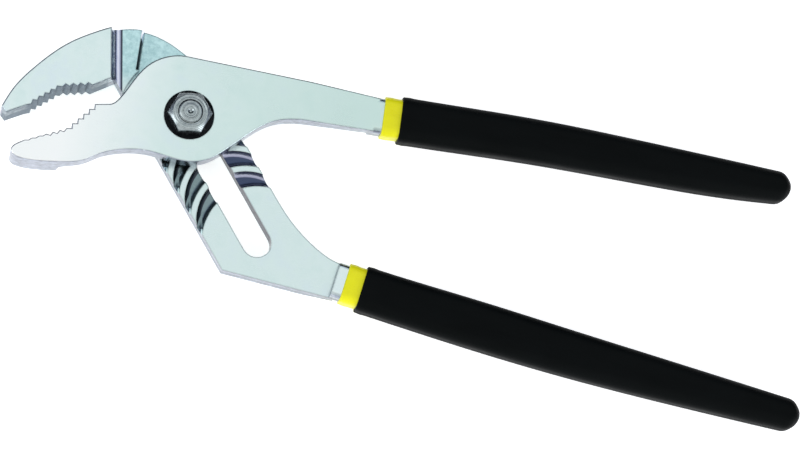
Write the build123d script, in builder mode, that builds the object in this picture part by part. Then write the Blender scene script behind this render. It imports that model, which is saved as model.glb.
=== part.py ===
"""Tongue and groove pliers.

Two forged halves cross at a bolt. The slotted half carries seven arc-shaped
grooves beside its slot. The other half has a raised tongue that sits in one
groove at a time, so that the jaws keep their opening. Both handles are dipped
twice, first in yellow vinyl and then in black.

Millimetres, +Z up. The tool lies flat with the origin on the pivot axis, at
the outer face of the bolt's head. +X runs towards the handles and +Z towards
the nut.
"""

import os
from math import cos, radians, sin

from build123d import *

# ---------------------------------------------------------------- levels in Z
Z_BACK = 3.5
HEAD_GAP = 0.05
HALF_THICK = 5.4
Z_JOINT = Z_BACK + HALF_THICK
FACE_GAP = 0.1
Z_FRONT = Z_JOINT + HALF_THICK
HANDLE_THICK = 6.6
Z_HANDLE_LOW = Z_JOINT - HANDLE_THICK / 2
Z_HANDLE_TOP = Z_JOINT + HANDLE_THICK / 2

# ------------------------------------------------------------ pivot and slot
SLOT_ANGLE = -47.6
POSITIONS = 7
PITCH = 7.25
SLOT_WIDTH = 9.0
SLOT_TRAVEL = PITCH * (POSITIONS - 1)
STRIP_JAW_SIDE = 13.5
STRIP_OPEN_SIDE = 12.2
BORE_DIA = 8.9
SHOULDER_DIA = 8.8

# ---------------------------------------------------------- tongue and groove
# Each land is a low arc wall between two grooves. The tongue sits against its
# outer side.
LAND_RADIUS = 17.35
LAND_WIDTH = 1.8
LAND_SHIFT = 0.8
POCKET_RADIUS = 21.2
GROOVE_DEPTH = 2.0
GROOVE_CORNER = 1.95
GROOVE_HALF_ARC = 70.0
RELIEF_COVE = 1.0
RELIEF_RADIUS = 3.2
TONGUE_INNER = 17.75
TONGUE_OUTER = 18.85
TONGUE_DEPTH = 1.3
TONGUE_START = 143.0
TONGUE_ARC = 30.0

# ---------------------------------------------------------------- bolt and nut
THREAD_DIA = 7.0
HEAD_DIA = 17.0
NUT_FLATS = 11.8
NUT_HEIGHT = 5.0
RECESS_DIA = 14.8
RECESS_DEPTH = 0.9
BOLT_PROUD = 0.6
DIMPLE_DIA = 1.6

# ----------------------------------------------------------------- vinyl dips
UNDER_DIP = 0.7
OUTER_DIP = 0.9
DIP_START = 58.0
OUTER_DIP_START = 63.4
CORE_CORNER = 1.9

# ----------------------------------------------------------------- jaws, edges
TOOTH_DEPTH = 1.1
UPPER_TOOTH_DEPTH = 0.85
SMALL_TOOTH_DEPTH = 0.75
FAINT_TOOTH_DEPTH = 0.35
COVE_RADIUS = 3.6
LOWER_COVE_RADIUS = 3.0
THIN_RADIUS = 22.6
EDGE_ROUND = 0.4
SLOT_CHAMFER = 0.3

ALONG = Vector(cos(radians(SLOT_ANGLE)), sin(radians(SLOT_ANGLE)))
JAWWARD = Vector(sin(radians(SLOT_ANGLE)), -cos(radians(SLOT_ANGLE)))

LAND_OFFSET = JAWWARD * -LAND_SHIFT


def on_strip(along, jawward):
    """A point by its distance down the slot and its distance to the jaw side."""
    return ALONG * along + JAWWARD * jawward


def tooth_row(start, end, count, depth):
    """A row of V teeth from crest to crest, the valleys on the left of the way."""
    a, b = Vector(*start), Vector(*end)
    step = (b - a) / count
    inward = Vector(-step.Y, step.X).normalized() * depth
    row = [a]
    for i in range(count):
        row += [a + step * (i + 0.5) + inward, a + step * (i + 1)]
    return row


def smooth(*points, ways):
    """A spline through the points that starts and ends in the given directions."""
    return Spline(*points, tangents=ways, tangent_scalars=(1, 1))


def relief(wall, low, side, radius):
    """Cut one half to its joint face beyond the line of its jaw wall, whose foot is coved.

    side is 1 to clear what lies above the level and -1 to clear what lies below.
    """
    wall_way = (Vector(*wall[1]) - Vector(*wall[0])).normalized()
    wall_out = Vector(wall_way.Y, -wall_way.X)
    far = side * 30
    with BuildSketch(Plane(origin=wall[0], x_dir=wall_out, z_dir=-wall_way)) as section:
        with BuildLine():
            Line((0, low + far), (0, low + side * radius))
            ThreePointArc(
                (0, low + side * radius),
                (radius * (1 - cos(radians(45))), low + side * radius * (1 - sin(radians(45)))),
                (radius, low),
            )
            Polyline((radius, low), (120, low), (120, low + far), (0, low + far))
        make_face()
    extrude(section.sketch, amount=130, both=True, mode=Mode.SUBTRACT)


def bar_sides(middle, half_widths, inset):
    """Points down the two sides of a handle whose middle line and width vary."""
    left, right = [], []
    last = len(middle) - 1
    for i, point in enumerate(middle):
        before, after = Vector(*middle[max(i - 1, 0)]), Vector(*middle[min(i + 1, last)])
        way = (after - before).normalized()
        out = Vector(-way.Y, way.X) * (half_widths[i] - inset)
        left.append(Vector(*point) + out)
        right.append(Vector(*point) - out)
    return left, right


def bar(middle, half_widths, inset, start):
    """The solid of one handle layer, inset from the outer dip's surface."""
    left, right = bar_sides(middle, half_widths, inset)
    half_thick = HANDLE_THICK / 2 + UNDER_DIP + OUTER_DIP - inset
    corner = CORE_CORNER + UNDER_DIP + OUTER_DIP - inset
    tip = (Vector(*middle[-1]) - Vector(*middle[-2])).normalized()
    root = (Vector(*middle[1]) - Vector(*middle[0])).normalized()
    rise = (start - middle[0][0]) * root.Y / root.X
    cut = Plane(origin=(start, middle[0][1] + rise, 0), z_dir=root)
    nose = Vector(*middle[-1]) + tip * (half_widths[-1] - inset)
    with BuildPart() as layer:
        with BuildSketch(Plane.XY.offset(Z_JOINT - half_thick)):
            with BuildLine():
                Spline(*left)
                ThreePointArc(left[-1], nose, right[-1])
                Spline(*right)
                Line(left[0], right[0])
            make_face()
        extrude(amount=2 * half_thick)
        rims = layer.faces().filter_by(Axis.Z).edges()
        fillet(rims.filter_by(lambda edge: edge.center().X > middle[0][0] + 1), corner)
        split(bisect_by=cut, keep=Keep.TOP)
    return layer.part


def cove_cut(centre, radius, outward):
    """Cut one coved wall of a land: outward is 1 for its outer side, -1 for its inner."""
    first = radians(SLOT_ANGLE + 180 - GROOVE_HALF_ARC)
    side = Plane(
        origin=(centre.X, centre.Y, Z_JOINT),
        x_dir=(cos(first), sin(first), 0),
        z_dir=(sin(first), -cos(first), 0),
    )
    low = -GROOVE_DEPTH
    bend = radius + outward * GROOVE_CORNER * (1 - cos(radians(45)))
    far = radius + outward * (GROOVE_CORNER + 0.05)
    with BuildSketch(side) as section:
        with BuildLine():
            Line((radius, 1), (radius, low + GROOVE_CORNER))
            ThreePointArc(
                (radius, low + GROOVE_CORNER),
                (bend, low + GROOVE_CORNER * (1 - sin(radians(45)))),
                (radius + outward * GROOVE_CORNER, low),
            )
            Polyline((radius + outward * GROOVE_CORNER, low), (far, low), (far, 1), (radius, 1))
        make_face()
    turn = Axis((centre.X, centre.Y, 0), (0, 0, 1))
    revolve(section.sketch, axis=turn, revolution_arc=2 * GROOVE_HALF_ARC, mode=Mode.SUBTRACT)


# ------------------------------------------------------------- handle courses
# The outer dip's middle line from before its first edge to its nose, and the
# half width at each point.
UPPER_MIDDLE = [(50, 15.6), (63.5, 16.8), (106, 21.2), (146, 23.9), (170, 25.6), (183, 26.8)]
UPPER_HALF = [7.3, 7.2, 6.9, 6.4, 5.7, 5.0]
LOWER_MIDDLE = [(50, -37.2), (63, -38.2), (98, -40.2), (127, -41.6), (160, -42.6), (199.3, -43.4)]
LOWER_HALF = [7.2, 7.1, 7.4, 7.2, 6.4, 5.0]

# ================================================================ slotted half
# Upper, fixed jaw with the neck, the slotted strip and the lower handle.
UPPER_NOSE = [(-55.4, -12.0), (-53.6, -13.5), (-48.4, -9.9)]
UPPER_BITE = UPPER_NOSE + tooth_row((-46.8, -9.1), (-39.3, -1.5), 5, UPPER_TOOTH_DEPTH)
UPPER_HEEL = tooth_row((-39.3, -1.5), (-30.6, 1.4), 4, UPPER_TOOTH_DEPTH)
THROAT = on_strip(-21.0, STRIP_JAW_SIDE)
STRIP_FOOT = on_strip(46.0, STRIP_JAW_SIDE)
STRIP_HEAD = on_strip(-9.0, -STRIP_OPEN_SIDE)
STRIP_BEND = on_strip(29.5, -STRIP_OPEN_SIDE)
JAW_WALL = [(-25.4, 5.0), (-29.2, 21.0)]
RELIEF_TOP = (-19.2, 27.0)
RELIEF_FOOT = (-17.9, 11.4)
STEP_X = 55.0

with BuildPart() as slotted_half:
    with BuildSketch(Plane.XY.offset(Z_BACK)):
        with BuildLine():
            Polyline(*UPPER_BITE, *UPPER_HEEL[1:], THROAT, STRIP_FOOT, (56, -43.2), (56, -32.1))
            smooth((56, -32.1), (46.3, -28.6), (38, -22.8), STRIP_BEND, ways=((-1, 0.1), -ALONG))
            Line(STRIP_BEND, STRIP_HEAD)
            smooth(
                STRIP_HEAD, (-4.7, 20.2), (-12.9, 23.4), (-20.3, 24.0), (-27.0, 22.1), (-34.3, 17.7),
                (-39.6, 13.6), (-44.1, 8.9), (-49.1, 2.1), (-52.8, -4.2), UPPER_NOSE[0],
                ways=(-ALONG, (-0.25, -1)),
            )
        make_face()
    extrude(amount=Z_FRONT - Z_BACK)
    # only the jaw keeps the full thickness: beyond a coved wall lies the joint face
    relief(JAW_WALL, Z_JOINT, 1, COVE_RADIUS)
    # the pocket above the first land, up to the relief line
    with BuildSketch(Plane.XY.offset(Z_JOINT)):
        with BuildLine():
            Polyline(RELIEF_FOOT, RELIEF_TOP, (18, 27), (18, 12), (0, 0), close=True)
        make_face()
        Circle(POCKET_RADIUS)
        Rectangle(60, 60, rotation=SLOT_ANGLE, align=(Align.MIN, Align.CENTER), mode=Mode.SUBTRACT)
        with Locations(LAND_OFFSET):
            Circle(LAND_RADIUS + GROOVE_CORNER, mode=Mode.SUBTRACT)
    extrude(amount=-GROOVE_DEPTH, mode=Mode.SUBTRACT)
    # the pocket's wall stands on a cove along the relief line
    relief_way = (Vector(*RELIEF_TOP) - Vector(*RELIEF_FOOT)).normalized()
    relief_out = Vector(relief_way.Y, -relief_way.X)
    with BuildSketch(Plane(origin=RELIEF_FOOT, x_dir=relief_out, z_dir=-relief_way)):
        with BuildLine():
            Line((-RELIEF_COVE, Z_JOINT + 1), (-RELIEF_COVE, Z_JOINT))
            RadiusArc((-RELIEF_COVE, Z_JOINT), (0, Z_JOINT - GROOVE_DEPTH), RELIEF_RADIUS)
            Polyline((0, Z_JOINT - GROOVE_DEPTH), (0.3, Z_JOINT - GROOVE_DEPTH), (0.3, Z_JOINT + 1),
                     (-RELIEF_COVE, Z_JOINT + 1))
        make_face()
    extrude(amount=-18, mode=Mode.SUBTRACT)
    # the flat floor of each groove between two lands
    for place in range(1, POSITIONS):
        with BuildSketch(Plane.XY.offset(Z_JOINT)):
            with Locations(ALONG * (PITCH * (place - 1)) + LAND_OFFSET):
                Circle(LAND_RADIUS - LAND_WIDTH - GROOVE_CORNER)
            with Locations(ALONG * (PITCH * place) + LAND_OFFSET):
                Circle(LAND_RADIUS + GROOVE_CORNER, mode=Mode.SUBTRACT)
        extrude(amount=-GROOVE_DEPTH, mode=Mode.SUBTRACT)
    # the coved walls on both sides of each land
    for place in range(POSITIONS):
        centre = ALONG * (PITCH * place) + LAND_OFFSET
        sides = [(LAND_RADIUS, 1)]
        if place < POSITIONS - 1:
            sides.append((LAND_RADIUS - LAND_WIDTH, -1))
        for radius, outward in sides:
            cove_cut(centre, radius, outward)
    # the slot the bolt moves along
    middle = ALONG * (SLOT_TRAVEL / 2)
    with BuildSketch(Plane.XY.offset(Z_BACK)):
        with Locations((middle.X, middle.Y)):
            SlotCenterToCenter(SLOT_TRAVEL, SLOT_WIDTH, rotation=SLOT_ANGLE)
    extrude(amount=HALF_THICK, mode=Mode.SUBTRACT)
    # the back falls to the handle's level
    with BuildSketch(Plane.XZ):
        Polygon((44, Z_BACK - 1), (44, Z_BACK), (57, Z_HANDLE_LOW + 0.2), (57, Z_BACK - 1), align=None)
    extrude(amount=60, both=True, mode=Mode.SUBTRACT)
    add(bar(LOWER_MIDDLE, LOWER_HALF, UNDER_DIP + OUTER_DIP, STEP_X))
    # softened edges on the jaw's front, all round the back and along the slot's back rim
    front = slotted_half.faces().filter_by(Axis.Z).sort_by(Axis.Z)[-1]
    fillet(front.outer_wire().edges(), EDGE_ROUND)
    back = slotted_half.faces().filter_by(Axis.Z).sort_by(Axis.Z)[0]
    fillet(back.outer_wire().edges(), EDGE_ROUND)
    back = slotted_half.faces().filter_by(Axis.Z).sort_by(Axis.Z)[0]
    chamfer(back.inner_wires()[0].edges(), SLOT_CHAMFER)

# ================================================================= tongue half
# Lower jaw, round hub with the bolt hole, and the upper handle.
HEEL_FLAT = (-24.2, -2.9)
HEEL_CREST = (-28.4, -4.1)
LOWER_CREST = (-34.9, -13.6)
FAINT_CREST = (-40.4, -16.9)
FRONT_CREST = (-46.2, -20.4)
LOWER_WALL = [(-36.0, -27.0), (-23.6, -2.4)]
HUB_LEFT = (-14.1, -14.9)
HUB_RIGHT = (13.2, -7.8)
SHANK_ROOT = (36, 7.9)
LOWER_BITE = tooth_row(HEEL_CREST, LOWER_CREST, 5, TOOTH_DEPTH)
LOWER_BITE += tooth_row(LOWER_CREST, FAINT_CREST, 3, SMALL_TOOTH_DEPTH)[1:]
LOWER_BITE += tooth_row(FAINT_CREST, FRONT_CREST, 3, FAINT_TOOTH_DEPTH)[1:]


def tongue_outline():
    """The outline of the tongue half, from the heel round to the heel."""
    Polyline(HEEL_FLAT, *LOWER_BITE)
    smooth(
        FRONT_CREST, (-48.3, -22.1), (-49.5, -24.0), (-48.9, -25.4), (-46.6, -26.2), (-43.0, -26.1),
        (-36.0, -24.8), (-31.0, -23.5), (-27.4, -21.9), (-23.3, -18.8), (-19.2, -16.6), HUB_LEFT,
        ways=((-0.77, -0.64), (1, 0.24)),
    )
    smooth(
        HUB_LEFT, (-9.1, -14.2), (-1.3, -14.5), (5.0, -13.8), (9.6, -11.4), HUB_RIGHT,
        ways=((1, 0.24), (0.66, 0.75)),
    )
    smooth(HUB_RIGHT, (18.8, -1.2), (25.6, 4.9), SHANK_ROOT, ways=((0.66, 0.75), (20, 2.6)))
    Polyline(SHANK_ROOT, (56, 10.5), (56, 21.4), (-4.8, 18.0))
    smooth(
        (-4.8, 18.0), (-10.9, 16.2), (-15.9, 11.9), (-19.4, 5.0), (-21.3, 0.4), HEEL_FLAT,
        ways=((-60.8, -3.4), (-4.2, -1.2)),
    )


with BuildPart() as tongue_half:
    with BuildSketch(Plane.XY.offset(Z_BACK)):
        with BuildLine():
            tongue_outline()
        make_face()
    extrude(amount=Z_FRONT - Z_BACK)
    # only the jaw keeps the full thickness: beyond its coved wall lies the joint face
    relief(LOWER_WALL, Z_JOINT + FACE_GAP, -1, LOWER_COVE_RADIUS)
    with BuildSketch(Plane.XY.offset(Z_BACK - 1)):
        Circle(THIN_RADIUS)
    extrude(amount=Z_JOINT + FACE_GAP - Z_BACK + 1, mode=Mode.SUBTRACT)
    # the tongue, a low arc rib about the pivot on the back face
    start_way = Vector(cos(radians(TONGUE_START)), sin(radians(TONGUE_START)))
    with BuildSketch(Plane(origin=(0, 0, Z_JOINT + FACE_GAP), x_dir=start_way,
                           z_dir=(start_way.Y, -start_way.X, 0))):
        with BuildLine():
            FilletPolyline(
                (TONGUE_INNER, 1), (TONGUE_INNER, -TONGUE_DEPTH),
                (TONGUE_OUTER, -TONGUE_DEPTH), (TONGUE_OUTER, 1),
                radius=0.5,
            )
            Line((TONGUE_OUTER, 1), (TONGUE_INNER, 1))
        make_face()
    revolve(axis=Axis.Z, revolution_arc=TONGUE_ARC)
    # bolt hole, and the shallow round recess that the nut sits in
    with BuildSketch(Plane.XY.offset(Z_JOINT)):
        Circle(BORE_DIA / 2)
    extrude(amount=HALF_THICK, mode=Mode.SUBTRACT)
    with BuildSketch(Plane.XY.offset(Z_FRONT)):
        Circle(RECESS_DIA / 2)
    extrude(amount=-RECESS_DEPTH, mode=Mode.SUBTRACT)
    # the front falls to the handle's level
    with BuildSketch(Plane.XZ):
        Polygon((34, Z_FRONT + 1), (34, Z_FRONT), (57, Z_HANDLE_TOP - 0.2), (57, Z_FRONT + 1), align=None)
    extrude(amount=60, both=True, mode=Mode.SUBTRACT)
    add(bar(UPPER_MIDDLE, UPPER_HALF, UNDER_DIP + OUTER_DIP, STEP_X - 1))
    # softened edges all round the front
    front = tongue_half.faces().filter_by(Axis.Z).sort_by(Axis.Z)[-1]
    fillet(front.outer_wire().edges(), EDGE_ROUND)
    front = tongue_half.faces().filter_by(Axis.Z).sort_by(Axis.Z)[-1]
    chamfer(front.inner_wires()[0].edges(), SLOT_CHAMFER)

# ================================================================ bolt and nut
NUT_SEAT = Z_FRONT - RECESS_DEPTH + HEAD_GAP
BOLT_TOP = NUT_SEAT + NUT_HEIGHT + BOLT_PROUD

with BuildPart() as pivot_bolt:
    with BuildSketch(Plane.XZ):
        with BuildLine():
            Polyline(
                (0, 0), (HEAD_DIA / 2, 0), (HEAD_DIA / 2, Z_BACK - HEAD_GAP),
                (SHOULDER_DIA / 2, Z_BACK - HEAD_GAP), (SHOULDER_DIA / 2, NUT_SEAT),
                (THREAD_DIA / 2, NUT_SEAT), (THREAD_DIA / 2, BOLT_TOP - 0.5),
                (THREAD_DIA / 2 - 0.5, BOLT_TOP), (DIMPLE_DIA / 2, BOLT_TOP),
                (0, BOLT_TOP - DIMPLE_DIA / 2), (0, 0),
            )
        make_face()
    revolve(axis=Axis.Z)
    head_rim = pivot_bolt.edges().filter_by(GeomType.CIRCLE).group_by(Axis.Z)[0]
    fillet(head_rim, 1.2)

with BuildPart() as pivot_nut:
    with BuildSketch(Plane.XY.offset(NUT_SEAT)):
        RegularPolygon(NUT_FLATS / 2, 6, major_radius=False, rotation=12)
        Circle(THREAD_DIA / 2, mode=Mode.SUBTRACT)
    extrude(amount=NUT_HEIGHT)
    with BuildSketch(Plane.XZ):
        with BuildLine():
            Polyline(
                (0, NUT_SEAT), (NUT_FLATS / 2 + 0.4, NUT_SEAT), (9, NUT_SEAT + 1),
                (9, NUT_SEAT + NUT_HEIGHT - 1.9), (NUT_FLATS / 2 - 0.8, NUT_SEAT + NUT_HEIGHT),
                (0, NUT_SEAT + NUT_HEIGHT), (0, NUT_SEAT),
            )
        make_face()
    revolve(axis=Axis.Z, mode=Mode.INTERSECT)

# ================================================================= vinyl dips
with BuildPart() as upper_under_dip:
    add(bar(UPPER_MIDDLE, UPPER_HALF, OUTER_DIP, DIP_START))
    add(bar(UPPER_MIDDLE, UPPER_HALF, UNDER_DIP + OUTER_DIP, STEP_X), mode=Mode.SUBTRACT)

with BuildPart() as upper_outer_dip:
    add(bar(UPPER_MIDDLE, UPPER_HALF, 0, OUTER_DIP_START))
    add(bar(UPPER_MIDDLE, UPPER_HALF, OUTER_DIP, DIP_START), mode=Mode.SUBTRACT)

with BuildPart() as lower_under_dip:
    add(bar(LOWER_MIDDLE, LOWER_HALF, OUTER_DIP, DIP_START))
    add(bar(LOWER_MIDDLE, LOWER_HALF, UNDER_DIP + OUTER_DIP, STEP_X), mode=Mode.SUBTRACT)

with BuildPart() as lower_outer_dip:
    add(bar(LOWER_MIDDLE, LOWER_HALF, 0, OUTER_DIP_START))
    add(bar(LOWER_MIDDLE, LOWER_HALF, OUTER_DIP, DIP_START), mode=Mode.SUBTRACT)

# ===================================================================== output
PIECES = {
    "slotted_jaw_half": slotted_half,
    "tongue_jaw_half": tongue_half,
    "pivot_bolt": pivot_bolt,
    "pivot_nut": pivot_nut,
    "upper_handle_yellow_dip": upper_under_dip,
    "upper_handle_black_grip": upper_outer_dip,
    "lower_handle_yellow_dip": lower_under_dip,
    "lower_handle_black_grip": lower_outer_dip,
}
os.makedirs("parts", exist_ok=True)
for name, piece in PIECES.items():
    piece.part.label = name
    export_step(piece.part, f"parts/{name}.step")
    print(name, round(piece.part.volume, 1), piece.part.is_valid, len(piece.part.solids()))
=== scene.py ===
"""Tongue and groove pliers: the looks.

The steel halves keep their CAD meshes. The nut, the bolt and the four vinyl
dips are modelled here. Lengths are written in millimetres and turned into
metres by MM.
"""

import math

import bmesh
import bpy
from mathutils import Matrix, Vector


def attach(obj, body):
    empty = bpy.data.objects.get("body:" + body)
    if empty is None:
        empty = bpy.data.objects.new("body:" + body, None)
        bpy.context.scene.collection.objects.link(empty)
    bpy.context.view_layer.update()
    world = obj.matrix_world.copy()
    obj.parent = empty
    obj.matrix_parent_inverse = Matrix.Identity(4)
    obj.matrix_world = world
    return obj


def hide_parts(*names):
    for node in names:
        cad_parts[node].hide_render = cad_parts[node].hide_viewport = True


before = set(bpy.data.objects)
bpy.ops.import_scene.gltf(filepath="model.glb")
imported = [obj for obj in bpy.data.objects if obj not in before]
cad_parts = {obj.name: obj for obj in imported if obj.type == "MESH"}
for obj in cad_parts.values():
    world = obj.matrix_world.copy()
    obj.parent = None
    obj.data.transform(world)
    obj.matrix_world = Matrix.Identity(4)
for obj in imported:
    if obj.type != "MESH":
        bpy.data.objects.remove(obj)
bpy.context.view_layer.update()

MM = 0.001
scene = bpy.context.scene


# ------------------------------------------------------------------ camera
def make_camera():
    """The camera, lying at the photograph's viewing angle."""
    data = bpy.data.cameras.new("camera")
    data.sensor_width = 36.0
    data.lens = 3420 / 800 * 36.0
    data.clip_start = 0.05
    data.clip_end = 20
    camera = bpy.data.objects.new("camera", data)
    scene.collection.objects.link(camera)
    right = Vector((0.96250, 0.21294, 0.16806))
    up = Vector((-0.24892, 0.93954, 0.23518))
    back = Vector((-0.10782, -0.26819, 0.95731))
    turn = Matrix((right, up, back)).transposed()
    camera.matrix_world = Matrix.Translation((-0.041678, -0.297429, 1.010493)) @ turn.to_4x4()
    scene.camera = camera
    return camera


make_camera()


# --------------------------------------------------------------- materials
def set_stops(node, stops):
    """Give a colour ramp its stops of (place, colour)."""
    elements = node.color_ramp.elements
    while len(elements) < len(stops):
        elements.new(0.5)
    for element, (at, colour) in zip(elements, stops):
        element.position = at
        element.color = (*colour, 1.0)


class Nodes:
    """A short way to write a node tree."""

    def __init__(self, name):
        self.material = bpy.data.materials.new(name)
        self.material.use_nodes = True
        self.tree = self.material.node_tree
        self.tree.nodes.clear()
        self.output = self.tree.nodes.new("ShaderNodeOutputMaterial")
        self.shader = self.tree.nodes.new("ShaderNodeBsdfPrincipled")
        self.link(self.shader.outputs["BSDF"], self.output.inputs["Surface"])
        self.place = self.tree.nodes.new("ShaderNodeTexCoord").outputs["Object"]

    def link(self, out, into):
        self.tree.links.new(out, into)

    def put(self, socket, value):
        if isinstance(value, bpy.types.NodeSocket):
            self.link(value, socket)
        else:
            socket.default_value = value

    def noise(self, scale, detail=3.0, rough=0.55, stretch=None, distortion=0.0):
        source = self.place
        if stretch:
            mapping = self.tree.nodes.new("ShaderNodeMapping")
            mapping.inputs["Scale"].default_value = stretch
            self.link(source, mapping.inputs["Vector"])
            source = mapping.outputs["Vector"]
        node = self.tree.nodes.new("ShaderNodeTexNoise")
        node.inputs["Scale"].default_value = scale
        node.inputs["Detail"].default_value = detail
        node.inputs["Roughness"].default_value = rough
        node.inputs["Distortion"].default_value = distortion
        self.link(source, node.inputs["Vector"])
        return node.outputs["Fac"]

    def voronoi(self, scale):
        node = self.tree.nodes.new("ShaderNodeTexVoronoi")
        node.feature = "F1"
        node.inputs["Scale"].default_value = scale
        self.link(self.place, node.inputs["Vector"])
        return node.outputs["Distance"]

    def ramp(self, value, stops):
        """Colours along a value, from stops of (place, colour)."""
        node = self.tree.nodes.new("ShaderNodeValToRGB")
        set_stops(node, stops)
        self.put(node.inputs["Fac"], value)
        return node.outputs["Color"]

    def remap(self, value, low, high, to_low, to_high):
        node = self.tree.nodes.new("ShaderNodeMapRange")
        node.inputs["From Min"].default_value = low
        node.inputs["From Max"].default_value = high
        node.inputs["To Min"].default_value = to_low
        node.inputs["To Max"].default_value = to_high
        self.put(node.inputs["Value"], value)
        return node.outputs["Result"]

    def math(self, operation, a, b=0.0, c=0.0, clamp=False):
        node = self.tree.nodes.new("ShaderNodeMath")
        node.operation = operation
        node.use_clamp = clamp
        self.put(node.inputs[0], a)
        self.put(node.inputs[1], b)
        self.put(node.inputs[2], c)
        return node.outputs["Value"]

    def mix(self, factor, a, b):
        node = self.tree.nodes.new("ShaderNodeMix")
        node.data_type = "RGBA"
        self.put(node.inputs["Factor"], factor)
        self.put(node.inputs[6], a if isinstance(a, bpy.types.NodeSocket) else (*a, 1.0))
        self.put(node.inputs[7], b if isinstance(b, bpy.types.NodeSocket) else (*b, 1.0))
        return node.outputs[2]

    def split(self, vector):
        node = self.tree.nodes.new("ShaderNodeSeparateXYZ")
        self.link(vector, node.inputs["Vector"])
        return node.outputs

    def bump(self, height, distance, strength=1.0, after=None):
        node = self.tree.nodes.new("ShaderNodeBump")
        node.inputs["Strength"].default_value = strength
        node.inputs["Distance"].default_value = distance
        self.put(node.inputs["Height"], height)
        if after is not None:
            self.link(after, node.inputs["Normal"])
        return node.outputs["Normal"]

    def radius(self):
        """Distance in metres from the pivot's axis."""
        parts = self.split(self.place)
        squares = [self.math("MULTIPLY", parts[axis], parts[axis]) for axis in ("X", "Y")]
        return self.math("SQRT", self.math("ADD", *squares))

    def product(self, first, *others):
        """All the factors multiplied together."""
        for other in others:
            first = self.math("MULTIPLY", first, other)
        return first

    def band(self, value, low, high, soft):
        """1 between two values, falling to 0 outside them."""
        rise = self.remap(value, low - soft, low, 0.0, 1.0)
        return self.product(rise, self.remap(value, high, high + soft, 1.0, 0.0))

    def rise(self, place, low, high):
        """0 below one place in millimetres, 1 above the other."""
        return self.remap(place, low * MM, high * MM, 0.0, 1.0)

    def fall(self, place, low, high):
        """1 below one place in millimetres, 0 above the other."""
        return self.remap(place, low * MM, high * MM, 1.0, 0.0)

    def within(self, place, low, high, soft):
        """1 between two places in millimetres, falling to 0 outside them."""
        return self.band(place, low * MM, high * MM, soft * MM)

    def along(self, parts, way, origin=(0.0, 0.0)):
        """Distance in metres from a point in millimetres, along a way in the plane of the tool."""
        dx = self.product(self.math("SUBTRACT", parts["X"], origin[0] * MM), way[0])
        dy = self.product(self.math("SUBTRACT", parts["Y"], origin[1] * MM), way[1])
        return self.math("ADD", dx, dy)

    def flat_factor(self, low, high):
        """1 on faces that look straight up or down, 0 on the object's flanks."""
        coords = self.tree.nodes.new("ShaderNodeTexCoord")
        z = self.math("ABSOLUTE", self.split(coords.outputs["Normal"])["Z"])
        return self.remap(z, low, high, 0.0, 1.0)

    def rounded(self, radius):
        """The object-space normal of a surface whose edges were rounded off."""
        bevel = self.tree.nodes.new("ShaderNodeBevel")
        bevel.samples = 4
        bevel.inputs["Radius"].default_value = radius
        turn = self.tree.nodes.new("ShaderNodeVectorTransform")
        turn.vector_type = "NORMAL"
        turn.convert_from = "WORLD"
        turn.convert_to = "OBJECT"
        self.link(bevel.outputs["Normal"], turn.inputs["Vector"])
        return self.split(turn.outputs["Vector"])

    def edge_factor(self, low, high):
        """1 along convex edges, from the mesh's pointiness."""
        geometry = self.tree.nodes.new("ShaderNodeNewGeometry")
        return self.remap(geometry.outputs["Pointiness"], low, high, 0.0, 1.0)


# Where the markings of the two forged halves lie, in millimetres in the CAD frame.
SLOT_ANGLE = math.radians(-47.6)
DOWN_STRIP = (math.cos(SLOT_ANGLE), math.sin(SLOT_ANGLE))
TO_JAW_SIDE = (DOWN_STRIP[1], -DOWN_STRIP[0])
Z_GROOVE_FLOOR = 6.9
Z_JOINT = 8.9
Z_FRONT = 14.3
BELOW_GROOVES = 6.0
UPPER_LINE = (8.3, Z_JOINT)
LOWER_LINE = (5.5, 5.9)
SLOT_HALF = 4.7
SLOT_ENDS = (-5.0, 48.5)
FIRST_GROOVE = -13.6
JAW_WALL_FOOT = (-25.4, 5.0)
OUT_OF_JAW_WALL = (0.9729, 0.2311)
JAW_WALL_X = (-32.0, -19.0)
COVE_WIDTH = 3.7
RECESS_RING = (5.0, 7.45)
SHANK_END = 52.0
NECK_FADE = (4.0, 10.0)
BITE_X = (-54.8, -18.5)
BITE_Y = (-20.4, 4.6)
# the width over which a sharp mark fades
HAIR = 0.04


def ground_tint(n, at, sunken, neck, slotted):
    """The plating's cloudy tint on ground faces, duller where the face is sunken, with a painted light
    falloff along the tongue half.
    """
    tint = n.ramp(n.noise(130, 3.0, 0.6),
                  [(0.30, (0.70, 0.85, 0.83)), (0.50, (0.75, 0.88, 0.86)), (0.72, (0.73, 0.85, 0.88))])
    scale = n.ramp(n.noise(640, 4.0, 0.65), [(0.36, (0.46, 0.70, 0.71)), (0.64, (0.64, 0.90, 0.90))])
    tint = n.mix(n.product(sunken, 0.35), tint, (0.62, 0.76, 0.74))
    tint = n.mix(neck, tint, scale)
    if not slotted:
        # painted light falloff: brighter on the jaw, darker towards the handle
        light_falloff = n.rise(at["X"], -30, 50)
        tint = n.mix(n.product(light_falloff, 0.75), tint, (0.58, 0.76, 0.70))
        tint = n.mix(n.remap(at["X"], -36 * MM, -6 * MM, 0.95, 0.0), tint, (0.98, 1.0, 0.99))
    return tint


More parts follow.
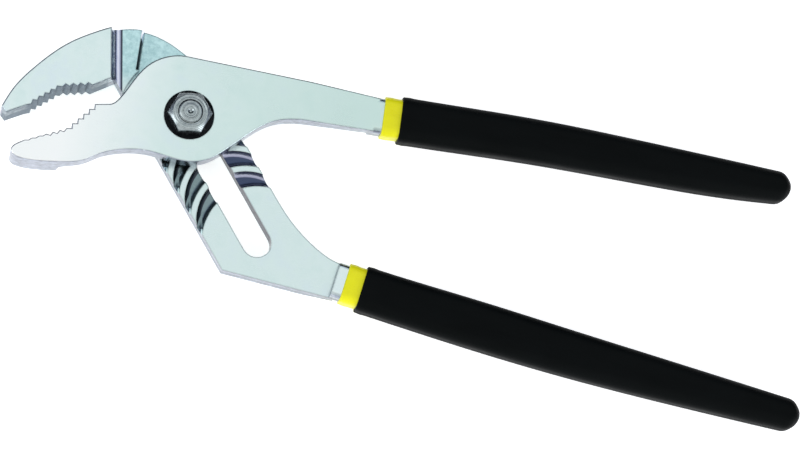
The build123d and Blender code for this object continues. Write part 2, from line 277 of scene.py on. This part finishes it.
def groove_painted_reflections(n, colour, at, facing, flat):
    """Painted reflections and shade in the grooves: one wall a bright painted highlight, the floor and the
    other wall painted dark.
    """
    jaw_side = n.rise(n.along(at, TO_JAW_SIDE), -0.2, 0.2)
    leaning = n.product(n.band(facing["Z"], 0.12, 0.985, 0.01),
                        n.within(at["Z"], BELOW_GROOVES, Z_JOINT - 0.02, 0.02))
    height = n.rise(at["Z"], Z_GROOVE_FLOOR, Z_JOINT)
    # painted reflections on the groove walls: painted shade low down, a bright painted highlight near the top
    bright_wall_reflection = n.ramp(height, [(0.0, (0.22, 0.23, 0.36)), (0.12, (0.50, 0.52, 0.68)), (0.6, (0.86, 0.88, 0.97))])
    dark_wall_reflection = n.ramp(height, [(0.0, (0.10, 0.12, 0.20)), (0.8, (0.05, 0.06, 0.09))])
    teal_wall_reflection = n.ramp(height, [(0.0, (0.26, 0.36, 0.38)), (0.35, (0.42, 0.55, 0.56)), (0.9, (0.50, 0.66, 0.66))])
    black_wall_shade = n.ramp(height, [(0.0, (0.05, 0.06, 0.07)), (1.0, (0.02, 0.025, 0.03))])
    slope = n.math("ADD", n.product(facing["X"], DOWN_STRIP[0]), n.product(facing["Y"], DOWN_STRIP[1]))
    downward = n.remap(slope, -0.03, 0.03, 0.0, 1.0)
    wall = n.mix(jaw_side, n.mix(downward, dark_wall_reflection, bright_wall_reflection), n.mix(downward, teal_wall_reflection, black_wall_shade))
    colour = n.mix(leaning, colour, wall)
    # painted shade on the groove floors
    floor = n.product(flat, n.within(at["Z"], BELOW_GROOVES, Z_GROOVE_FLOOR + 0.08, 0.02),
                      n.rise(n.along(at, DOWN_STRIP), FIRST_GROOVE - 0.4, FIRST_GROOVE))
    return n.mix(floor, colour, n.mix(jaw_side, (0.06, 0.08, 0.14), (0.22, 0.30, 0.31)))


def slot_shade_and_flank_lines(n, colour, at, facing):
    """Painted shade on the slot's walls, and two dark lines along the strip's flanks."""
    upright = n.band(facing["Z"], -0.10, 0.10, 0.10)
    # painted shade: the slot's walls are coloured near black
    slot_wall_shade = n.product(n.within(n.along(at, TO_JAW_SIDE), -SLOT_HALF, SLOT_HALF, 0.1), upright,
                        n.within(n.along(at, DOWN_STRIP), *SLOT_ENDS, 0.3))
    colour = n.mix(slot_wall_shade, colour, (0.012, 0.010, 0.028))
    lines = n.math("ADD", n.within(at["Z"], *UPPER_LINE, 0.1), n.within(at["Z"], *LOWER_LINE, 0.2),
                   clamp=True)
    lines = n.product(lines, upright, n.remap(at["X"], -30 * MM, -24 * MM, 0.0, 0.85))
    return n.mix(lines, colour, (0.07, 0.08, 0.11))


def painted_edge_reflection(n, colour, at, flat, slotted):
    """A painted dark reflection line where a face ends at an edge, stronger where that edge faces +Y."""
    soft = n.rounded(0.7 * MM)
    line = n.product(n.remap(soft["Z"], 0.985, 0.90, 0.0, 1.0), flat,
                     n.remap(soft["Y"], 0.0, 0.12, 0.30, 1.0))
    if not slotted:
        line = n.product(line, n.remap(at["X"], -28 * MM, -16 * MM, 0.30, 1.0))
    return n.mix(n.product(line, 0.92), colour, (0.03, 0.04, 0.05))


def cove_colour(n, colour, at):
    """The coved wall of the jaw, with painted reflections: dark blue above, a bright painted highlight in the
    bend, a dark painted line at its foot.
    """
    across = n.along(at, OUT_OF_JAW_WALL, JAW_WALL_FOOT)
    cove = n.product(n.within(across, HAIR, COVE_WIDTH, HAIR),
                     n.within(at["Z"], Z_JOINT - 0.05, Z_FRONT - 0.1, HAIR),
                     n.within(at["X"], *JAW_WALL_X, 0.5))
    cove_reflection = n.ramp(n.rise(across, 0.0, COVE_WIDTH),
                    [(0.0, (0.10, 0.13, 0.22)), (0.36, (0.16, 0.19, 0.32)), (0.50, (0.60, 0.64, 0.80)),
                     (0.66, (0.86, 0.88, 0.98)), (0.80, (0.44, 0.48, 0.64)), (0.88, (0.07, 0.08, 0.11))])
    return n.mix(cove, colour, cove_reflection)


def recess_colour(n, colour, at, facing):
    """The recess floor round the nut coloured near black, and the shank's end face at the dip coloured dark.
    """
    ring = n.product(n.within(n.radius(), *RECESS_RING, HAIR), n.within(at["Z"], 13.2, Z_FRONT - 0.1, HAIR))
    colour = n.mix(ring, colour, (0.012, 0.013, 0.015))
    end = n.product(n.remap(facing["X"], 0.5, 0.8, 0.0, 1.0), n.rise(at["X"], SHANK_END - 2, SHANK_END))
    return n.mix(end, colour, (0.10, 0.11, 0.12))


def bite_mask(n, at, facing, flat, slotted):
    """1 on the broached walls of the bite."""
    bite = n.product(n.rise(at["X"], BITE_X[0] - 0.4, BITE_X[0]), n.fall(at["X"], BITE_X[1], BITE_X[1] + 1.0),
                     n.rise(at["Y"], BITE_Y[0] - 0.8, BITE_Y[0]), n.fall(at["Y"], BITE_Y[1], BITE_Y[1] + 0.8),
                     n.remap(facing["X"], -0.75, -0.65, 0.0, 1.0))
    if not slotted:
        bite = n.product(bite, n.remap(facing["Y"], -0.3, -0.1, 0.0, 1.0))
    return n.product(bite, n.math("SUBTRACT", 1.0, flat))


def plated_steel(name, slotted):
    """Satin nickel-chrome plate over ground faces, forged flanks and broached teeth."""
    n = Nodes(name)
    at = n.split(n.place)
    facing = n.split(n.tree.nodes.new("ShaderNodeTexCoord").outputs["Normal"])
    flat = n.flat_factor(0.55, 0.97)
    # the joint face below the front is coloured duller, and the neck keeps its forged skin
    sunken = n.product(n.fall(at["Z"], Z_JOINT, Z_JOINT + 0.4), flat)
    neck = n.product(sunken, n.rise(at["Y"], *NECK_FADE), n.fall(at["X"], *NECK_FADE))
    # the flanks are coloured much darker than the ground faces: partly their forged finish, partly painted
    # dark reflection
    forged_and_dark_reflection = n.ramp(n.noise(520, 4.0, 0.6), [(0.35, (0.20, 0.22, 0.27)), (0.65, (0.34, 0.37, 0.44))])
    colour = n.mix(flat, forged_and_dark_reflection, ground_tint(n, at, sunken, neck, slotted))
    if slotted:
        colour = groove_painted_reflections(n, colour, at, facing, flat)
        colour = slot_shade_and_flank_lines(n, colour, at, facing)
    colour = painted_edge_reflection(n, colour, at, flat, slotted)
    # painted dark reflection on the front's rounded rims where they face +Y
    rim_reflection = n.product(n.band(facing["Z"], 0.20, 0.92, 0.04), n.remap(facing["Y"], 0.10, 0.40, 0.0, 1.0),
                    n.rise(at["Z"], Z_FRONT - 1.2, Z_FRONT - 0.9))
    colour = n.mix(n.product(rim_reflection, 0.9), colour, (0.03, 0.035, 0.04))
    if slotted:
        colour = cove_colour(n, colour, at)
    else:
        colour = recess_colour(n, colour, at, facing)
    # broached teeth, coloured dark grey-blue in streaks
    bite = bite_mask(n, at, facing, flat, slotted)
    tooth = n.ramp(n.noise(1.0, 4.0, 0.6, stretch=(900.0, 900.0, 5200.0)),
                   [(0.36, (0.085, 0.115, 0.15)), (0.64, (0.20, 0.26, 0.31))])
    colour = n.mix(bite, colour, tooth)
    # pale wear along the edges
    wear = n.product(n.edge_factor(0.53, 0.62), n.remap(n.noise(900, 2.0), 0.4, 0.6, 0.1, 0.7),
                     n.math("SUBTRACT", 1.0, rim_reflection), n.rise(at["Z"], Z_JOINT + 0.2, Z_JOINT + 0.6))
    colour = n.mix(wear, colour, (0.80, 0.87, 0.88))
    n.put(n.shader.inputs["Base Color"], colour)
    n.shader.inputs["Metallic"].default_value = 1.0
    # grinding lines run along the tool, forged pits on the flanks
    lines = n.noise(1.0, 4.0, 0.6, stretch=(260.0, 7200.0, 7200.0))
    pits = n.noise(1500, 3.0, 0.6)
    smudge = n.noise(75, 2.0, 0.5, distortion=0.6)
    ground = n.math("ADD", n.remap(lines, 0.3, 0.7, 0.19, 0.25), n.remap(smudge, 0.35, 0.7, 0.0, 0.05))
    ground = n.math("ADD", ground, n.product(neck, 0.16))
    pitted = n.math("ADD", n.remap(pits, 0.3, 0.7, 0.16, 0.28), n.product(bite, 0.2))
    rough = n.tree.nodes.new("ShaderNodeMix")
    rough.data_type = "FLOAT"
    n.put(rough.inputs["Factor"], flat)
    n.put(rough.inputs["A"], pitted)
    n.put(rough.inputs["B"], ground)
    n.put(n.shader.inputs["Roughness"], rough.outputs["Result"])
    normal = n.bump(lines, 0.000010)
    normal = n.bump(pits, 0.00002, after=normal)
    normal = n.bump(n.product(n.noise(420, 3.0), neck), 0.00022, after=normal)
    normal = n.bump(n.noise(160, 2.0), 0.00005, after=normal)
    n.put(n.shader.inputs["Normal"], normal)
    return n.material


def turned_steel(name):
    """Zinc-plated turned steel, with rings cut by the lathe about the pivot's axis."""
    n = Nodes(name)
    flat = n.flat_factor(0.6, 0.98)
    rings = n.math("SINE", n.math("MULTIPLY", n.radius(), 2 * math.pi / (0.42 * MM)))
    uneven = n.noise(700, 3.0, 0.6)
    colour = n.ramp(uneven, [(0.30, (0.40, 0.47, 0.47)), (0.70, (0.60, 0.67, 0.66))])
    # painted dark reflection: the flanks and chamfers of the nut and bolt are coloured much darker than their
    # flat faces
    colour = n.mix(flat, n.ramp(uneven, [(0.30, (0.16, 0.18, 0.20)), (0.70, (0.34, 0.37, 0.40))]), colour)
    shade = n.remap(rings, -1.0, 1.0, 0.72, 1.0)
    dark = n.tree.nodes.new("ShaderNodeMix")
    dark.data_type = "RGBA"
    dark.blend_type = "MULTIPLY"
    n.put(dark.inputs["Factor"], flat)
    n.put(dark.inputs[6], colour)
    n.put(dark.inputs[7], shade)
    n.put(n.shader.inputs["Base Color"], dark.outputs[2])
    n.shader.inputs["Metallic"].default_value = 1.0
    n.put(n.shader.inputs["Roughness"], n.remap(uneven, 0.3, 0.7, 0.20, 0.36))
    normal = n.bump(n.math("MULTIPLY", rings, flat), 0.00002)
    normal = n.bump(n.noise(2600, 3.0), 0.00001, after=normal)
    n.put(n.shader.inputs["Normal"], normal)
    return n.material


def vinyl(name, dark, light, rough_low, rough_high, specular, grain, coat=0.0, subsurface=0.0):
    """Dipped vinyl: soft flow marks, fine grain and a little dust."""
    n = Nodes(name)
    flow = n.noise(1.0, 3.0, 0.5, stretch=(45.0, 150.0, 150.0), distortion=0.3)
    fine = n.noise(2400, 3.0, 0.6)
    colour = n.ramp(n.math("ADD", n.math("MULTIPLY", flow, 0.7), n.math("MULTIPLY", fine, 0.3)),
                    [(0.35, dark), (0.65, light)])
    n.put(n.shader.inputs["Base Color"], colour)
    n.put(n.shader.inputs["Roughness"], n.remap(flow, 0.3, 0.7, rough_low, rough_high))
    n.shader.inputs["Specular IOR Level"].default_value = specular
    n.shader.inputs["Coat Weight"].default_value = coat
    n.shader.inputs["Coat Roughness"].default_value = 0.12
    if subsurface:
        n.shader.inputs["Subsurface Weight"].default_value = subsurface
        n.shader.inputs["Subsurface Radius"].default_value = (0.0012, 0.0010, 0.0003)
    pebble = n.voronoi(1500)
    normal = n.bump(fine, grain)
    normal = n.bump(pebble, grain * 0.8, after=normal)
    normal = n.bump(flow, 0.00012, after=normal)
    n.put(n.shader.inputs["Normal"], normal)
    return n.material


STEEL = {
    "slotted_jaw_half": plated_steel("plated_steel_slotted", True),
    "tongue_jaw_half": plated_steel("plated_steel_tongue", False),
}
TURNED = turned_steel("turned_steel")
YELLOW = vinyl("yellow_dip", (0.78, 0.74, 0.003), (0.88, 0.86, 0.006), 0.26, 0.38, 0.25, 0.000008, 0.05, 0.03)
BLACK = vinyl("black_dip", (0.0012, 0.0020, 0.0021), (0.0028, 0.0038, 0.0040), 0.42, 0.60, 0.05, 0.00002)

for node, material in STEEL.items():
    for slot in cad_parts[node].material_slots:
        slot.material = material


# ------------------------------------------------------------ mesh helpers
def finish_piece(name, bm, material, body, node, smooth_angle):
    """Turn a bmesh into a piece that rides a body and stands for a CAD node."""
    bmesh.ops.remove_doubles(bm, verts=bm.verts, dist=1e-7)
    bmesh.ops.recalc_face_normals(bm, faces=bm.faces)
    mesh = bpy.data.meshes.new(name)
    bm.to_mesh(mesh)
    bm.free()
    for polygon in mesh.polygons:
        polygon.use_smooth = True
    mesh.set_sharp_from_angle(angle=math.radians(smooth_angle))
    mesh.materials.append(material)
    piece = bpy.data.objects.new(name, mesh)
    scene.collection.objects.link(piece)
    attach(piece, body)
    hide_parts(node)
    return piece


def bridge(bm, rings):
    """Quads between closed rings of vertices with equal counts."""
    for a, b in zip(rings, rings[1:]):
        for i in range(len(a)):
            j = (i + 1) % len(a)
            bm.faces.new((a[i], a[j], b[j], b[i]))


def cap(bm, ring):
    """Close a ring with a fan round its middle."""
    middle = Vector((0, 0, 0))
    for vert in ring:
        middle += vert.co
    hub = bm.verts.new(middle / len(ring))
    for i, vert in enumerate(ring):
        bm.faces.new((vert, ring[(i + 1) % len(ring)], hub))


# ------------------------------------------------------------ bolt and nut
Z_BACK = 3.5
NUT_SEAT = 13.45
NUT_TOP = 18.45
BOLT_TOP = 19.05
AROUND = 180


def polar_vert(bm, radius, angle, height):
    """A vertex by its radius and angle about the pivot's axis, in millimetres and radians."""
    return bm.verts.new((radius * math.cos(angle) * MM, radius * math.sin(angle) * MM, height * MM))


def lathe(bm, profile):
    """Rings of (radius, height) about the pivot's axis, in millimetres."""
    rings = []
    for radius, height in profile:
        rings.append([polar_vert(bm, radius, 2 * math.pi * i / AROUND, height) for i in range(AROUND)])
    bridge(bm, rings)
    return rings


def arc(cx, cy, radius, start, end, steps):
    """Points of an arc in the (radius, height) plane, angles in degrees."""
    points = []
    for i in range(steps + 1):
        angle = math.radians(start + (end - start) * i / steps)
        points.append((cx + radius * math.cos(angle), cy + radius * math.sin(angle)))
    return points


def make_bolt():
    """The bolt's head, shoulder, thread end and centre dimple, turned about the pivot's axis."""
    bm = bmesh.new()
    profile = [(0.35, 0.0), (2.6, 0.0), (2.9, 0.12), (3.4, 0.12), (3.7, 0.0), (6.9, 0.0)]
    profile += arc(7.3, 1.2, 1.2, -90, 0, 10)[1:]
    profile += [(8.5, 2.9)] + arc(7.95, 2.9, 0.55, 0, 90, 6)[1:] + [(4.45, Z_BACK - 0.05)]
    profile += [(4.4, Z_BACK), (4.4, NUT_SEAT), (3.5, NUT_SEAT), (3.5, NUT_TOP - 0.6)]
    # the last turns of the thread, the chamfer and the turned end
    profile += [(3.5, NUT_TOP - 0.25), (3.18, NUT_TOP - 0.1), (3.18, NUT_TOP + 0.02), (3.42, NUT_TOP + 0.14)]
    profile += arc(3.12, BOLT_TOP - 0.32, 0.3, 10, 90, 6)
    profile += [(2.55, BOLT_TOP - 0.02), (2.42, BOLT_TOP - 0.16), (2.22, BOLT_TOP - 0.16), (2.1, BOLT_TOP)]
    profile += [(1.55, BOLT_TOP), (1.45, BOLT_TOP - 0.07), (1.32, BOLT_TOP - 0.07), (1.22, BOLT_TOP)]
    profile += [(0.86, BOLT_TOP), (0.74, BOLT_TOP - 0.06), (0.3, BOLT_TOP - 0.52)]
    rings = lathe(bm, profile)
    cap(bm, rings[0])
    cap(bm, rings[-1])
    return finish_piece("pivot_bolt_turned", bm, TURNED, "pivot", "pivot_bolt", 28)


def make_nut():
    """A hexagonal nut with a turned, chamfered top. Each ring runs round its hexagon."""
    bm = bmesh.new()
    flats = 11.8
    turn = 12.0
    bore = 3.5
    face = 5.15
    chamfer = math.tan(math.radians(33))

    def hexagon(angle):
        inside = (math.degrees(angle) - turn) % 60 - 30
        return flats / 2 / math.cos(math.radians(inside))

    def crown(radius):
        return NUT_TOP - max(0.0, radius - face) * chamfer

    def ring(radii, heights):
        made = []
        for i in range(AROUND):
            angle = math.radians(turn) + 2 * math.pi * i / AROUND
            outer = hexagon(angle)
            radius, height = radii(outer), heights(outer)
            made.append(polar_vert(bm, radius, angle, height))
        return made

    # the bore and its countersink
    rings = [ring(lambda o: bore, lambda o: NUT_SEAT), ring(lambda o: bore, lambda o: NUT_TOP - 0.35)]
    rings.append(ring(lambda o: bore + 0.35, lambda o: NUT_TOP - 0.02))
    # turned rings on the top face
    for middle, depth in ((4.20, 0.08), (4.72, 0.06)):
        for offset, drop in ((-0.16, 0.0), (-0.08, depth), (0.08, depth), (0.16, 0.0)):
            rings.append(ring(lambda o, r=middle + offset: r, lambda o, d=drop: NUT_TOP - d))
    # the chamfered crown, then the flats and the seat
    rings.append(ring(lambda o: face - 0.1, lambda o: NUT_TOP))
    rings.append(ring(lambda o: face + 0.1, lambda o: crown(face + 0.1) + 0.02))
    for part in (0.35, 0.7):
        def between(outer, part=part):
            return face + (outer - face) * part

        rings.append(ring(between, lambda o, radius=between: crown(radius(o))))
    rings.append(ring(lambda o: o - 0.16, lambda o: crown(o - 0.16)))
    rings.append(ring(lambda o: o - 0.03, lambda o: crown(o) - 0.03))
    rings.append(ring(lambda o: o, lambda o: crown(o) - 0.2))
    rings.append(ring(lambda o: o, lambda o: NUT_SEAT + 0.35))
    rings.append(ring(lambda o: o - 0.1, lambda o: NUT_SEAT + 0.1))
    rings.append(ring(lambda o: min(o - 0.3, 6.6), lambda o: NUT_SEAT))
    rings.append(rings[0])
    bridge(bm, rings)
    return finish_piece("pivot_nut_hexagon", bm, TURNED, "pivot", "pivot_nut", 22)


make_bolt()
make_nut()

# ------------------------------------------------------------ vinyl dips
HANDLE_THICK = 6.6
UNDER_DIP = 0.7
OUTER_DIP = 0.9
CORE_CORNER = 1.9
UPPER_MIDDLE = [(50, 15.6), (63.5, 16.8), (106, 21.2), (146, 23.9), (170, 25.6), (183, 26.8)]
UPPER_HALF = [7.3, 7.2, 6.9, 6.4, 5.7, 5.0]
LOWER_MIDDLE = [(50, -37.2), (63, -38.2), (98, -40.2), (127, -41.6), (160, -42.6), (199.3, -43.4)]
LOWER_HALF = [7.2, 7.1, 7.4, 7.2, 6.4, 5.0]


def cubic(xs, ys):
    """A natural cubic through the given values, as a function."""
    n = len(xs) - 1
    h = [xs[i + 1] - xs[i] for i in range(n)]
    lower, upper, value = [0.0] * (n + 1), [0.0] * (n + 1), [0.0] * (n + 1)
    diagonal = [1.0] * (n + 1)
    for i in range(1, n):
        lower[i], diagonal[i], upper[i] = h[i - 1], 2 * (h[i - 1] + h[i]), h[i]
        value[i] = 6 * ((ys[i + 1] - ys[i]) / h[i] - (ys[i] - ys[i - 1]) / h[i - 1])
    for i in range(1, n + 1):
        factor = lower[i] / diagonal[i - 1]
        diagonal[i] -= factor * upper[i - 1]
        value[i] -= factor * value[i - 1]
    bend = [0.0] * (n + 1)
    for i in range(n - 1, 0, -1):
        bend[i] = (value[i] - upper[i] * bend[i + 1]) / diagonal[i]

    def at(x):
        i = 0
        while i < n - 1 and x > xs[i + 1]:
            i += 1
        a, b = (xs[i + 1] - x) / h[i], (x - xs[i]) / h[i]
        curve = ((a ** 3 - a) * bend[i] + (b ** 3 - b) * bend[i + 1]) * h[i] ** 2 / 6
        return a * ys[i] + b * ys[i + 1] + curve

    return at


class Course:
    """A handle's middle line by distance along it, with its half width."""

    def __init__(self, middle, half):
        self.marks = [0.0]
        for a, b in zip(middle, middle[1:]):
            self.marks.append(self.marks[-1] + math.dist(a, b))
        self.x = cubic(self.marks, [p[0] for p in middle])
        self.y = cubic(self.marks, [p[1] for p in middle])
        self.half = cubic(self.marks, half)
        self.length = self.marks[-1]

    def point(self, s):
        return Vector((self.x(s), self.y(s), 0))

    def way(self, s):
        ahead, behind = self.point(min(s + 0.5, self.length)), self.point(max(s - 0.5, 0))
        return (ahead - behind).normalized()

    def distance(self, x):
        """How far along the line a given x lies."""
        low, high = 0.0, self.length
        for _ in range(40):
            middle = (low + high) / 2
            if self.x(middle) < x:
                low = middle
            else:
                high = middle
        return (low + high) / 2


CORNER_STEPS = 9
SIDE_STEPS = 8
COURSE_STEPS = 90
NOSE_STEPS = 22
LIP_STEPS = 8
BEAD_STEPS = 12
BEAD_LENGTH = 3.2
BEAD_SWELL = 0.10


def section(half_wide, half_thick, corner):
    """A rounded rectangle as offsets across and up, in millimetres."""
    corner = min(corner, half_wide, half_thick)
    wide, thick = half_wide - corner, half_thick - corner
    corners = [(wide, thick, 0), (-wide, thick, 90), (-wide, -thick, 180), (wide, -thick, 270)]
    points = []
    for i, (cx, cy, start) in enumerate(corners):
        for k in range(CORNER_STEPS + 1):
            angle = math.radians(start + 90 * k / CORNER_STEPS)
            points.append((cx + corner * math.cos(angle), cy + corner * math.sin(angle)))
        nx, ny, nstart = corners[(i + 1) % 4]
        angle = math.radians(nstart)
        to = (nx + corner * math.cos(angle), ny + corner * math.sin(angle))
        last = points[-1]
        for k in range(1, SIDE_STEPS):
            part = k / SIDE_STEPS
            points.append((last[0] + (to[0] - last[0]) * part, last[1] + (to[1] - last[1]) * part))
    return points


def skin(bm, course, inset, stations):
    """Rings of one dip's surface at (distance along, extra thickness)."""
    rings = []
    full = CORE_CORNER + UNDER_DIP + OUTER_DIP
    for s, extra in stations:
        on_line = min(s, course.length)
        beyond = max(0.0, s - course.length)
        way = course.way(on_line)
        across = Vector((-way.y, way.x, 0))
        half = course.half(on_line) - inset
        thick = HANDLE_THICK / 2 + UNDER_DIP + OUTER_DIP - inset
        corner = full - inset
        if beyond > 0:
            reach = min(beyond / half, 1.0)
            drop = max(0.0, (beyond - (half - corner)) / corner)
            half_here = half * math.sqrt(max(0.0, 1 - reach ** 2))
            thick_here = thick - corner * (1 - math.sqrt(max(0.0, 1 - min(drop, 1.0) ** 2)))
        else:
            half_here, thick_here = half, thick
        middle = course.point(on_line) + way * beyond
        ring = []
        for u, v in section(half_here + extra, thick_here + extra, corner + extra):
            place = middle + across * u
            ring.append(bm.verts.new((place.x * MM, place.y * MM, (Z_JOINT + v) * MM)))
        rings.append(ring)
    return rings


def nose_stations(course, inset, start):
    """Distances from the start to the very tip, closer together at the nose."""
    half = course.half(course.length) - inset
    stations = []
    for i in range(1, COURSE_STEPS + 1):
        stations.append((start + (course.length - start) * i / COURSE_STEPS, 0.0))
    for i in range(1, NOSE_STEPS + 1):
        stations.append((course.length + half * math.sin(math.pi / 2 * i / NOSE_STEPS) * 0.9995, 0.0))
    return stations


def make_dip(name, course, start_x, inset, thickness, lip, material, body, node):
    """One dip: its outer skin, rounded lip and the inner skin against what lies below."""
    bm = bmesh.new()
    start = course.distance(start_x)
    outer = []
    for i in range(LIP_STEPS + 1):
        angle = math.pi / 2 * i / LIP_STEPS
        outer.append((start + lip * (1 - math.cos(angle)), -lip * (1 - math.sin(angle))))
    # the bead that gathers behind the lip while the dip drains
    for i in range(1, BEAD_STEPS + 1):
        along = lip + BEAD_LENGTH * i / BEAD_STEPS
        swell = BEAD_SWELL * math.sin(math.pi * i / BEAD_STEPS) ** 2
        outer.append((start + along, swell))
    rings = skin(bm, course, inset, outer + nose_stations(course, inset, start + lip + BEAD_LENGTH))
    # the inner skin lies a hair below the surface of the layer it covers
    sink = -0.02
    inner_stations = [(start, sink)]
    inner_stations += [(s, sink) for s, _ in nose_stations(course, inset + thickness, start)]
    inner = skin(bm, course, inset + thickness, inner_stations)
    bridge(bm, rings)
    bridge(bm, inner)
    bridge(bm, [inner[0], rings[0]])
    cap(bm, rings[-1])
    cap(bm, inner[-1])
    return finish_piece(name, bm, material, body, node, 50)


UPPER = Course(UPPER_MIDDLE, UPPER_HALF)
LOWER = Course(LOWER_MIDDLE, LOWER_HALF)
for side, course, body in (("upper", UPPER, "tongue_half"), ("lower", LOWER, "slotted_half")):
    make_dip(f"{side}_yellow_band", course, 58.0, OUTER_DIP, UNDER_DIP, 0.35,
             YELLOW, body, f"{side}_handle_yellow_dip")
    make_dip(f"{side}_black_grip", course, 63.4, 0.0, OUTER_DIP, 0.5,
             BLACK, body, f"{side}_handle_black_grip")


# --------------------------------------------------------- floor and light
def make_floor():
    """The pale, softly lit floor under the tool."""
    bm = bmesh.new()
    bmesh.ops.create_grid(bm, x_segments=1, y_segments=1, size=3.0)
    mesh = bpy.data.meshes.new("floor")
    bm.to_mesh(mesh)
    bm.free()
    floor = bpy.data.objects.new("floor", mesh)
    floor.location = (0.07, 0, -0.0002)
    scene.collection.objects.link(floor)
    material = bpy.data.materials.new("floor")
    material.use_nodes = True
    shader = material.node_tree.nodes["Principled BSDF"]
    shader.inputs["Base Color"].default_value = (0.9, 0.9, 0.9, 1)
    shader.inputs["Roughness"].default_value = 0.9
    shader.inputs["Specular IOR Level"].default_value = 0.1
    shader.inputs["Emission Color"].default_value = (1, 1, 1, 1)
    shader.inputs["Emission Strength"].default_value = 0.62
    mesh.materials.append(material)


def make_light(name, place, target, size, power, colour):
    """A rectangular soft box that faces its target."""
    data = bpy.data.lights.new(name, "AREA")
    data.shape = "RECTANGLE"
    data.size, data.size_y = size
    data.energy = power
    data.color = colour
    light = bpy.data.objects.new(name, data)
    light.location = place
    light.rotation_mode = "QUATERNION"
    light.rotation_quaternion = (Vector(target) - Vector(place)).to_track_quat("-Z", "Y")
    scene.collection.objects.link(light)


def make_world():
    """A studio that is bright overhead and in front and dark behind, with a plain pale backdrop."""
    world = bpy.data.worlds.new("studio")
    scene.world = world
    world.use_nodes = True
    tree = world.node_tree
    tree.nodes.clear()
    output = tree.nodes.new("ShaderNodeOutputWorld")
    coords = tree.nodes.new("ShaderNodeTexCoord")
    split = tree.nodes.new("ShaderNodeSeparateXYZ")
    tree.links.new(coords.outputs["Generated"], split.inputs["Vector"])

    def scaled(socket, factor):
        node = tree.nodes.new("ShaderNodeMath")
        node.operation = "MULTIPLY"
        tree.links.new(socket, node.inputs[0])
        node.inputs[1].default_value = factor
        return node.outputs["Value"]

    def added(a, b):
        node = tree.nodes.new("ShaderNodeMath")
        node.operation = "ADD"
        tree.links.new(a, node.inputs[0])
        tree.links.new(b, node.inputs[1])
        return node.outputs["Value"]

    level = added(added(scaled(split.outputs["Z"], 0.9), scaled(split.outputs["Y"], -0.45)),
                  scaled(split.outputs["X"], 0.1))
    ramp = tree.nodes.new("ShaderNodeValToRGB")
    set_stops(ramp, [(0.0, (0.010, 0.016, 0.028)), (0.12, (0.05, 0.07, 0.12)), (0.34, (0.42, 0.46, 0.62)),
                     (0.52, (0.92, 0.96, 1.0)), (1.0, (1.0, 1.0, 1.0))])
    tree.links.new(level, ramp.inputs["Fac"])
    room = tree.nodes.new("ShaderNodeBackground")
    tree.links.new(ramp.outputs["Color"], room.inputs["Color"])
    room.inputs["Strength"].default_value = 0.95
    plain = tree.nodes.new("ShaderNodeBackground")
    plain.inputs["Color"].default_value = (0.93, 0.94, 0.95, 1)
    plain.inputs["Strength"].default_value = 1.0
    path = tree.nodes.new("ShaderNodeLightPath")
    mix = tree.nodes.new("ShaderNodeMixShader")
    tree.links.new(path.outputs["Is Camera Ray"], mix.inputs["Fac"])
    tree.links.new(room.outputs["Background"], mix.inputs[1])
    tree.links.new(plain.outputs["Background"], mix.inputs[2])
    tree.links.new(mix.outputs["Shader"], output.inputs["Surface"])


make_floor()
make_world()
make_light("softbox_left", (-1.1, -0.5, 0.8), (0.0, 0, 0), (0.7, 0.7), 5.0, (0.97, 0.99, 1.0))
make_light("softbox_right", (1.3, -0.7, 0.55), (0.06, 0, 0), (0.6, 0.5), 4.0, (0.95, 0.97, 1.0))
scene.view_settings.view_transform = "Standard"

bpy.context.view_layer.update()
